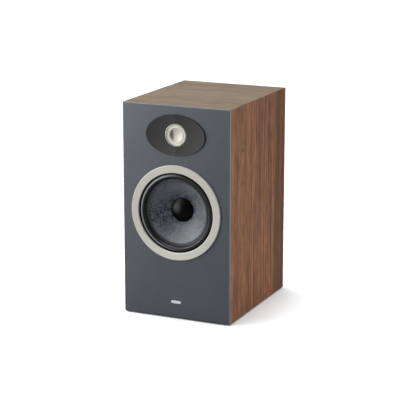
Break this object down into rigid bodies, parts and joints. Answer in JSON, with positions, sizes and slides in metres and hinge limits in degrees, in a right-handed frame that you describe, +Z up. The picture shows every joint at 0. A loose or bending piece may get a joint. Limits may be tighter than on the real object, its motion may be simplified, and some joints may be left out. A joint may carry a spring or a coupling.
{
  "type": "bookshelf speaker",
  "caption": "Two-way bookshelf loudspeaker in a wood-wrapped cabinet, with a sprung woofer cone and tweeter dome, a rear port and unscrewing binding posts.",
  "frame": {"origin": "on the resting plane, under the middle of the overall box", "axes": "+Z up, the drivers face -Y, +X to the right of a listener who faces the front"},
  "size_m": [0.212, 0.2742, 0.396],
  "materials": {
    "walnut_wrap": "satin walnut-look wrap, vertical grain",
    "walnut_top": "satin walnut-look wrap, grain across",
    "rear_vinyl": "fine leather-grain vinyl",
    "mdf": "raw fibreboard",
    "charcoal_panel": "satin charcoal lacquer",
    "brace_ply": "raw plywood",
    "wadding": "soft polyester felt",
    "foot_rubber": "matte",
    "badge_metal": "satin",
    "trim_metal": "fine spun satin, warm grey",
    "foam": "closed-cell foam",
    "basket_paint": "black powder coat",
    "black_screw": "black zinc",
    "surround_rubber": "matte rubber",
    "spider_cloth": "resin-dipped woven cloth",
    "plated_steel": "zinc plated",
    "ferrite": "ground ferrite",
    "brass_tag": "tinned brass",
    "copper_braid": "woven copper braid",
    "cone_fibre": "marbled slate-grey fibre with navy flecks",
    "cap_satin": "black satin",
    "former_film": "amber film",
    "copper_coil": "enamelled copper winding",
    "oval_plate": "fine satin charcoal",
    "bezel_metal": "satin with a beaded ring",
    "moulded_black": "fine moulded texture",
    "cream_suspension": "soft cream",
    "dome_metal": "satin champagne",
    "port_plastic": "fine moulded texture",
    "port_card": "dyed card tube",
    "zinc_screw": "dark zinc",
    "gold_plate": "gold plated",
    "collar_plastic": "moulded",
    "knob_red": "fluted red plastic",
    "knob_black": "fluted black plastic",
    "board_green": "solder mask",
    "nylon": "natural nylon",
    "cap_film": "wrapped film",
    "cement": "cement block",
    "tinned_steel": "tinned",
    "wire_jacket": "PVC jacket"
  },
  "bodies": {
    "cabinet": {"side_panel_left": "walnut_wrap", "side_panel_right": "walnut_wrap", "top_panel": "walnut_top", "bottom_panel": "walnut_top", "rear_panel": "rear_vinyl", "front_baffle": "mdf", "front_fascia": "charcoal_panel", "window_brace": "brace_ply", "damping_wadding": "wadding", "rubber_feet": "foot_rubber", "badge": "badge_metal", "woofer_trim_ring": "trim_metal", "woofer_gasket": "foam", "woofer_basket": "basket_paint", "woofer_screws": "black_screw", "woofer_surround": "surround_rubber", "woofer_spider": "spider_cloth", "woofer_top_plate": "plated_steel", "woofer_magnet": "ferrite", "woofer_yoke": "plated_steel", "woofer_terminals": "brass_tag", "woofer_tinsel_leads": "copper_braid", "tweeter_faceplate": "oval_plate", "tweeter_bezel": "bezel_metal", "tweeter_chassis": "moulded_black", "tweeter_gasket": "foam", "tweeter_screws": "black_screw", "tweeter_surround": "cream_suspension", "tweeter_top_plate": "plated_steel", "tweeter_magnet": "ferrite", "tweeter_yoke": "plated_steel", "tweeter_rear_chamber": "moulded_black", "tweeter_terminals": "brass_tag", "port_flare": "port_plastic", "port_tube": "port_card", "port_screws": "zinc_screw", "terminal_cup": "moulded_black", "terminal_gasket": "foam", "terminal_screws": "zinc_screw", "binding_posts": "gold_plate", "post_collars": "collar_plastic", "post_nuts": "gold_plate", "crossover_board": "board_green", "board_standoffs": "nylon", "inductors": "copper_coil", "capacitors": "cap_film", "resistors": "cement", "solder_lugs": "tinned_steel", "internal_wiring": "wire_jacket"},
    "cone_assembly": {"woofer_cone": "cone_fibre", "woofer_dust_cap": "cap_satin", "woofer_former": "former_film", "woofer_voice_coil": "copper_coil"},
    "dome_assembly": {"tweeter_dome": "dome_metal", "tweeter_former": "former_film", "tweeter_voice_coil": "copper_coil"},
    "positive_washer": {"clamp_washer_positive": "gold_plate"},
    "positive_knob": {"knob_positive": "knob_red"},
    "negative_washer": {"clamp_washer_negative": "gold_plate"},
    "negative_knob": {"knob_negative": "knob_black"}
  },
  "joints": [
    {"name": "woofer_travel", "type": "slide", "parent": "cabinet", "child": "cone_assembly", "axis": [0, -1, 0], "range_m": [-0.005, 0.005], "stiffness_N_per_m": 1000, "deforming": ["woofer_surround", "woofer_spider", "woofer_tinsel_leads"]},
    {"name": "tweeter_travel", "type": "slide", "parent": "cabinet", "child": "dome_assembly", "axis": [0, -1, 0], "range_m": [-0.0004, 0.0004], "stiffness_N_per_m": 1500, "deforming": ["tweeter_surround"]},
    {"name": "positive_clamp_slide", "type": "slide", "parent": "cabinet", "child": "positive_washer", "axis": [0, 1, 0], "range_m": [0, 0.005]},
    {"name": "positive_knob_spin", "type": "hinge", "parent": "positive_washer", "child": "positive_knob", "pos_m": [0.00953, 0.1291, 0.088], "axis": [0, 1, 0], "range_deg": [0, 1801]},
    {"name": "negative_clamp_slide", "type": "slide", "parent": "cabinet", "child": "negative_washer", "axis": [0, 1, 0], "range_m": [0, 0.005]},
    {"name": "negative_knob_spin", "type": "hinge", "parent": "negative_washer", "child": "negative_knob", "pos_m": [-0.00953, 0.1291, 0.088], "axis": [0, 1, 0], "range_deg": [0, 1801]}
  ],
  "couplings": [
    {"joint": "positive_knob_spin", "follows": "positive_clamp_slide", "rad_per_m": 6283.2},
    {"joint": "negative_knob_spin", "follows": "negative_clamp_slide", "rad_per_m": 6283.2}
  ]
}
